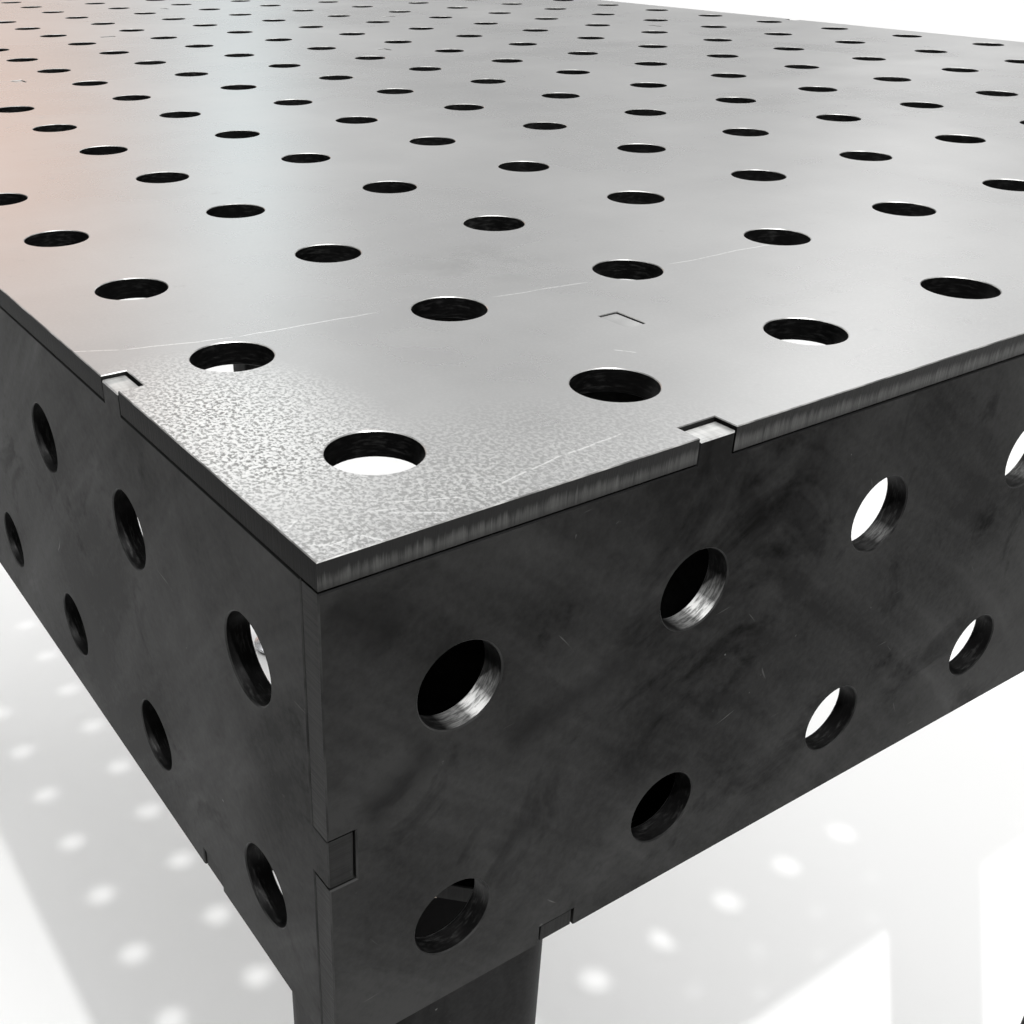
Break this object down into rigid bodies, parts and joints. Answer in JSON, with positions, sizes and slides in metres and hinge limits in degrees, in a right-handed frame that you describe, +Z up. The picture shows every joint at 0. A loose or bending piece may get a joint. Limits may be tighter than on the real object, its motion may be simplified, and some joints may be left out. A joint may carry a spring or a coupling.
{
  "type": "welding table",
  "caption": "Steel welding fixture table: holed top plate and skirts slotted together over crossed ribs, on four square legs with levelling feet.",
  "frame": {"origin": "centre of the bounding box's base: on the floor below the middle of the table", "axes": "+X along the short side towards the right, +Y along the long side towards the far end, +Z up"},
  "size_m": [0.608, 1.2176, 0.9144],
  "materials": {
    "ground_steel": "bright ground and cleaned steel plate, satin, with fine scratches",
    "mill_scale_steel": "dark hot-rolled mill scale, semi-matt",
    "plated_steel": "zinc-plated turned steel, satin",
    "nylon": "natural nylon, matt",
    "rubber": "black moulded rubber, matt"
  },
  "bodies": {
    "frame": {"top_plate": "ground_steel", "near_end_skirt": "mill_scale_steel", "far_end_skirt": "mill_scale_steel", "left_side_skirt": "mill_scale_steel", "right_side_skirt": "mill_scale_steel", "long_rib_1": "mill_scale_steel", "long_rib_2": "mill_scale_steel", "long_rib_3": "mill_scale_steel", "cross_rib": "mill_scale_steel", "leg_mount_1": "mill_scale_steel", "leg_1": "mill_scale_steel", "leg_end_plate_1": "mill_scale_steel", "weld_nut_1": "plated_steel", "leg_mount_2": "mill_scale_steel", "leg_2": "mill_scale_steel", "leg_end_plate_2": "mill_scale_steel", "weld_nut_2": "plated_steel", "leg_mount_3": "mill_scale_steel", "leg_3": "mill_scale_steel", "leg_end_plate_3": "mill_scale_steel", "weld_nut_3": "plated_steel", "leg_mount_4": "mill_scale_steel", "leg_4": "mill_scale_steel", "leg_end_plate_4": "mill_scale_steel", "weld_nut_4": "plated_steel"},
    "seat_1": {"ball_seat_1": "nylon"},
    "stem_1": {"foot_stem_1": "plated_steel"},
    "pad_1": {"foot_pad_1": "plated_steel", "retaining_ring_1": "plated_steel", "foot_sole_1": "rubber"},
    "nut_1": {"jam_nut_1": "plated_steel"},
    "seat_2": {"ball_seat_2": "nylon"},
    "stem_2": {"foot_stem_2": "plated_steel"},
    "pad_2": {"foot_pad_2": "plated_steel", "retaining_ring_2": "plated_steel", "foot_sole_2": "rubber"},
    "nut_2": {"jam_nut_2": "plated_steel"},
    "seat_3": {"ball_seat_3": "nylon"},
    "stem_3": {"foot_stem_3": "plated_steel"},
    "pad_3": {"foot_pad_3": "plated_steel", "retaining_ring_3": "plated_steel", "foot_sole_3": "rubber"},
    "nut_3": {"jam_nut_3": "plated_steel"},
    "seat_4": {"ball_seat_4": "nylon"},
    "stem_4": {"foot_stem_4": "plated_steel"},
    "pad_4": {"foot_pad_4": "plated_steel", "retaining_ring_4": "plated_steel", "foot_sole_4": "rubber"},
    "nut_4": {"jam_nut_4": "plated_steel"}
  },
  "joints": [
    {"name": "foot_1_lift", "type": "slide", "parent": "frame", "child": "seat_1", "axis": [0, 0, 1], "range_m": [-0.025, 0.009]},
    {"name": "foot_1_turn", "type": "hinge", "parent": "seat_1", "child": "stem_1", "pos_m": [-0.254, -0.5588, 0.018], "axis": [0, 0, 1], "range_deg": [-4505, 1625]},
    {"name": "foot_1_tilt", "type": "hinge", "parent": "seat_1", "child": "pad_1", "pos_m": [-0.254, -0.5588, 0.018], "axis": [1, 0, 0], "range_deg": [-8, 8]},
    {"name": "jam_nut_1_turn", "type": "hinge", "parent": "frame", "child": "nut_1", "pos_m": [-0.254, -0.5588, 0.0482], "axis": [0, 0, -1], "range_deg": [0, 360]},
    {"name": "foot_2_lift", "type": "slide", "parent": "frame", "child": "seat_2", "axis": [0, 0, 1], "range_m": [-0.025, 0.009]},
    {"name": "foot_2_turn", "type": "hinge", "parent": "seat_2", "child": "stem_2", "pos_m": [0.254, -0.5588, 0.018], "axis": [0, 0, 1], "range_deg": [-4505, 1625]},
    {"name": "foot_2_tilt", "type": "hinge", "parent": "seat_2", "child": "pad_2", "pos_m": [0.254, -0.5588, 0.018], "axis": [1, 0, 0], "range_deg": [-8, 8]},
    {"name": "jam_nut_2_turn", "type": "hinge", "parent": "frame", "child": "nut_2", "pos_m": [0.254, -0.5588, 0.0482], "axis": [0, 0, -1], "range_deg": [0, 360]},
    {"name": "foot_3_lift", "type": "slide", "parent": "frame", "child": "seat_3", "axis": [0, 0, 1], "range_m": [-0.025, 0.009]},
    {"name": "foot_3_turn", "type": "hinge", "parent": "seat_3", "child": "stem_3", "pos_m": [-0.254, 0.5588, 0.018], "axis": [0, 0, 1], "range_deg": [-4505, 1625]},
    {"name": "foot_3_tilt", "type": "hinge", "parent": "seat_3", "child": "pad_3", "pos_m": [-0.254, 0.5588, 0.018], "axis": [1, 0, 0], "range_deg": [-8, 8]},
    {"name": "jam_nut_3_turn", "type": "hinge", "parent": "frame", "child": "nut_3", "pos_m": [-0.254, 0.5588, 0.0482], "axis": [0, 0, -1], "range_deg": [0, 360]},
    {"name": "foot_4_lift", "type": "slide", "parent": "frame", "child": "seat_4", "axis": [0, 0, 1], "range_m": [-0.025, 0.009]},
    {"name": "foot_4_turn", "type": "hinge", "parent": "seat_4", "child": "stem_4", "pos_m": [0.254, 0.5588, 0.018], "axis": [0, 0, 1], "range_deg": [-4505, 1625]},
    {"name": "foot_4_tilt", "type": "hinge", "parent": "seat_4", "child": "pad_4", "pos_m": [0.254, 0.5588, 0.018], "axis": [1, 0, 0], "range_deg": [-8, 8]},
    {"name": "jam_nut_4_turn", "type": "hinge", "parent": "frame", "child": "nut_4", "pos_m": [0.254, 0.5588, 0.0482], "axis": [0, 0, -1], "range_deg": [0, 360]}
  ],
  "couplings": [
    {"joint": "foot_1_turn", "follows": "foot_1_lift", "rad_per_m": 3141.6},
    {"joint": "foot_2_turn", "follows": "foot_2_lift", "rad_per_m": 3141.6},
    {"joint": "foot_3_turn", "follows": "foot_3_lift", "rad_per_m": 3141.6},
    {"joint": "foot_4_turn", "follows": "foot_4_lift", "rad_per_m": 3141.6}
  ]
}
